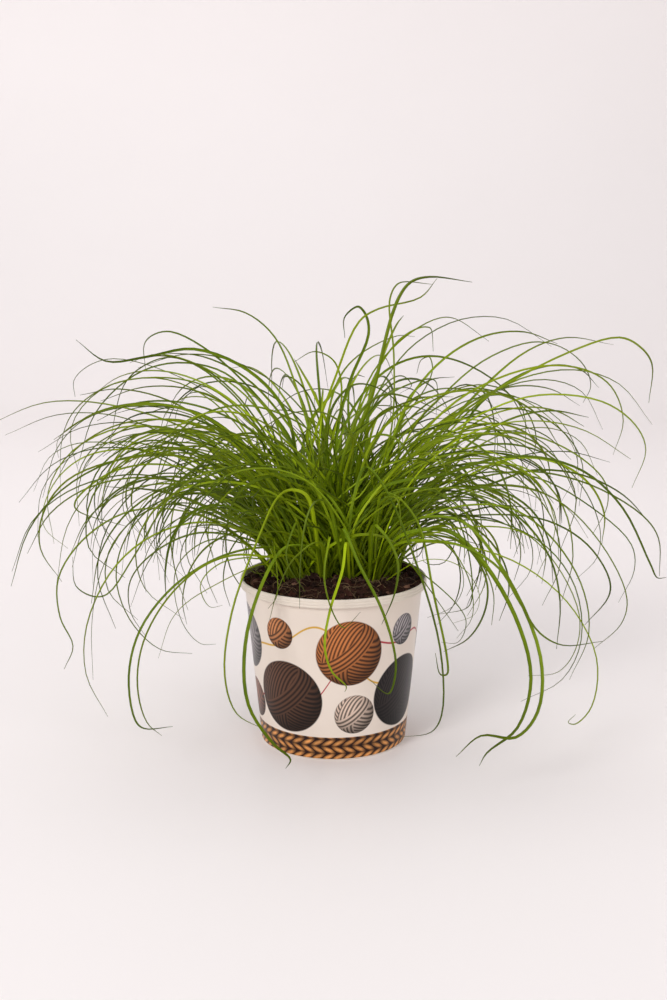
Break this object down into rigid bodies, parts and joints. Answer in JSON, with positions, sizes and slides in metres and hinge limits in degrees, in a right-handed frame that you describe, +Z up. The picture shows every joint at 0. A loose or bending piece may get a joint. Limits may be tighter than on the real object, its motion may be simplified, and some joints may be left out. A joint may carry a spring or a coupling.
{
  "type": "potted cat grass",
  "caption": "Cat grass with long thin arching blades in a tapered printed plastic pot of dark soil",
  "frame": {"origin": "centre of the pot's base, on the pot's axis, at the surface it stands on", "axes": "+Z up along the pot's axis, -Y the front that the picture shows, +X to the viewer's right"},
  "size_m": [0.4568, 0.3538, 0.3234],
  "materials": {
    "pot_plastic": "satin printed",
    "peat": "matte crumbly",
    "leaf": "satin"
  },
  "bodies": {
    "root": {"pot": "pot_plastic", "soil": "peat", "tuft_01": "leaf", "tuft_02": "leaf", "tuft_03": "leaf", "tuft_04": "leaf", "tuft_05": "leaf", "tuft_06": "leaf", "tuft_07": "leaf", "tuft_08": "leaf", "tuft_09": "leaf", "tuft_10": "leaf", "tuft_11": "leaf", "tuft_12": "leaf", "tuft_13": "leaf", "tuft_14": "leaf", "tuft_15": "leaf", "tuft_16": "leaf", "tuft_17": "leaf", "tuft_18": "leaf"}
  },
  "joints": []
}
